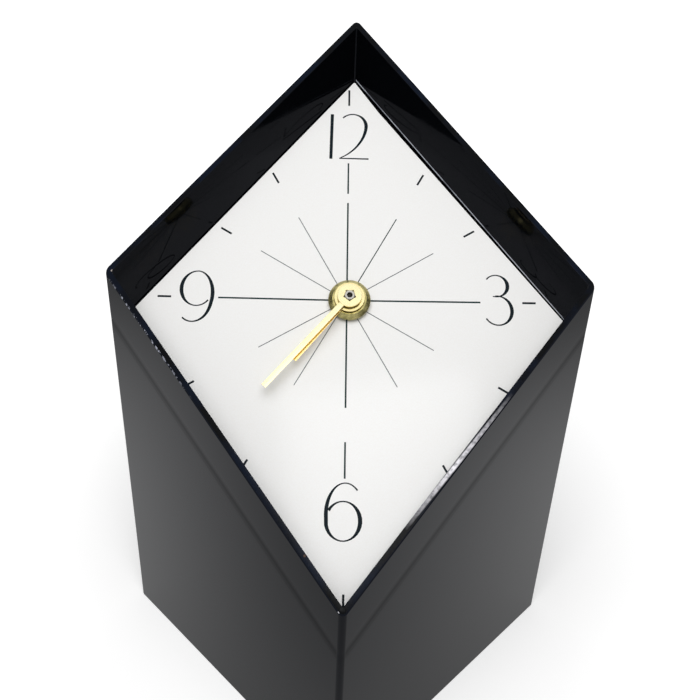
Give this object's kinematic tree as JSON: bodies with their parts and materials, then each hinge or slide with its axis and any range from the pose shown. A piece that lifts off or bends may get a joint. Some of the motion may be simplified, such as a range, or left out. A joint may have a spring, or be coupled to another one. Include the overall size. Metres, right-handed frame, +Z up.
{
  "type": "acrylic table clock",
  "caption": "Slant-cut square black acrylic table clock with a sunken white dial, brass bar hands and a battery movement behind it.",
  "frame": {"origin": "centre of the foot of the case, on the surface it stands on", "axes": "+Z up, -Y towards the low front corner that the dial faces, +X towards the 3 o'clock corner"},
  "size_m": [0.14, 0.14, 0.1876],
  "materials": {
    "black_acrylic": "polished black acrylic",
    "laminated_card": "gloss laminated white card",
    "dark_board": "dark matt sheet",
    "polished_brass": "polished and lacquered",
    "black_rubber": "matt",
    "grey_plastic": "fine spark texture",
    "white_plastic": "moulded acetal",
    "nickel_steel": "nickel plated",
    "copper_wire": "enamelled copper wire",
    "green_board": "solder mask",
    "black_resin": "cast resin",
    "cell_sleeve": "plain printed sleeve"
  },
  "bodies": {
    "case": {"case_shell": "black_acrylic", "dial_card": "laminated_card", "dial_backing_plate": "dark_board", "mounting_nut": "polished_brass", "brass_washer": "polished_brass", "rubber_washer": "black_rubber", "threaded_bushing": "polished_brass", "front_housing": "grey_plastic", "rear_cover": "grey_plastic", "middle_plate": "white_plastic", "stator": "nickel_steel", "coil_core": "nickel_steel", "coil_bobbin": "white_plastic", "coil_winding": "copper_wire", "circuit_board": "green_board", "quartz_crystal": "nickel_steel", "timing_chip": "black_resin", "positive_contact": "nickel_steel", "negative_contact": "nickel_steel", "battery_cell": "cell_sleeve"},
    "minute": {"minute_hand": "polished_brass", "cannon_pinion": "nickel_steel"},
    "hour": {"hour_hand": "polished_brass", "hour_wheel": "white_plastic"},
    "minute_wheel": {"minute_wheel": "white_plastic"},
    "setting_knob": {"setting_knob": "white_plastic"},
    "seconds_wheel": {"seconds_wheel": "white_plastic"},
    "intermediate_wheel": {"intermediate_wheel": "white_plastic"},
    "rotor": {"rotor": "nickel_steel"},
    "third_wheel": {"third_wheel": "white_plastic"},
    "centre_wheel": {"centre_wheel": "white_plastic"}
  },
  "joints": [
    {"name": "minute_turn", "type": "hinge", "parent": "case", "child": "minute", "pos_m": [0, 0.00697, 0.11889], "axis": [0, 0.6325, -0.7746], "continuous": true},
    {"name": "hour_turn", "type": "hinge", "parent": "case", "child": "hour", "pos_m": [0, 0.00697, 0.11889], "axis": [0, 0.6325, -0.7746], "continuous": true},
    {"name": "minute_wheel_turn", "type": "hinge", "parent": "case", "child": "minute_wheel", "pos_m": [-0.00617, 0.00634, 0.10805], "axis": [0, 0.6325, -0.7746], "continuous": true},
    {"name": "setting_turn", "type": "hinge", "parent": "case", "child": "setting_knob", "pos_m": [-0.01404, 0.00966, 0.09527], "axis": [0, 0.6325, -0.7746], "continuous": true},
    {"name": "seconds_turn", "type": "hinge", "parent": "case", "child": "seconds_wheel", "pos_m": [0, 0.00697, 0.11889], "axis": [0, 0.6325, -0.7746], "continuous": true},
    {"name": "intermediate_turn", "type": "hinge", "parent": "case", "child": "intermediate_wheel", "pos_m": [-0.00879, 0.01765, 0.10954], "axis": [0, 0.6325, -0.7746], "continuous": true},
    {"name": "rotor_turn", "type": "hinge", "parent": "case", "child": "rotor", "pos_m": [-0.01112, 0.02502, 0.11426], "axis": [0, 0.6325, -0.7746], "continuous": true},
    {"name": "third_turn", "type": "hinge", "parent": "case", "child": "third_wheel", "pos_m": [0.00468, 0.01957, 0.11627], "axis": [0, 0.6325, -0.7746], "continuous": true},
    {"name": "centre_turn", "type": "hinge", "parent": "case", "child": "centre_wheel", "pos_m": [0, 0.00697, 0.11889], "axis": [0, 0.6325, -0.7746], "continuous": true}
  ],
  "couplings": [
    {"joint": "hour_turn", "follows": "minute_turn", "ratio": 0.083333},
    {"joint": "minute_wheel_turn", "follows": "minute_turn", "ratio": -0.33333},
    {"joint": "setting_turn", "follows": "minute_turn", "ratio": 1},
    {"joint": "intermediate_turn", "follows": "seconds_turn", "ratio": -6},
    {"joint": "rotor_turn", "follows": "seconds_turn", "ratio": 30},
    {"joint": "third_turn", "follows": "seconds_turn", "ratio": -0.13333},
    {"joint": "centre_turn", "follows": "seconds_turn", "ratio": 0.016667}
  ]
}
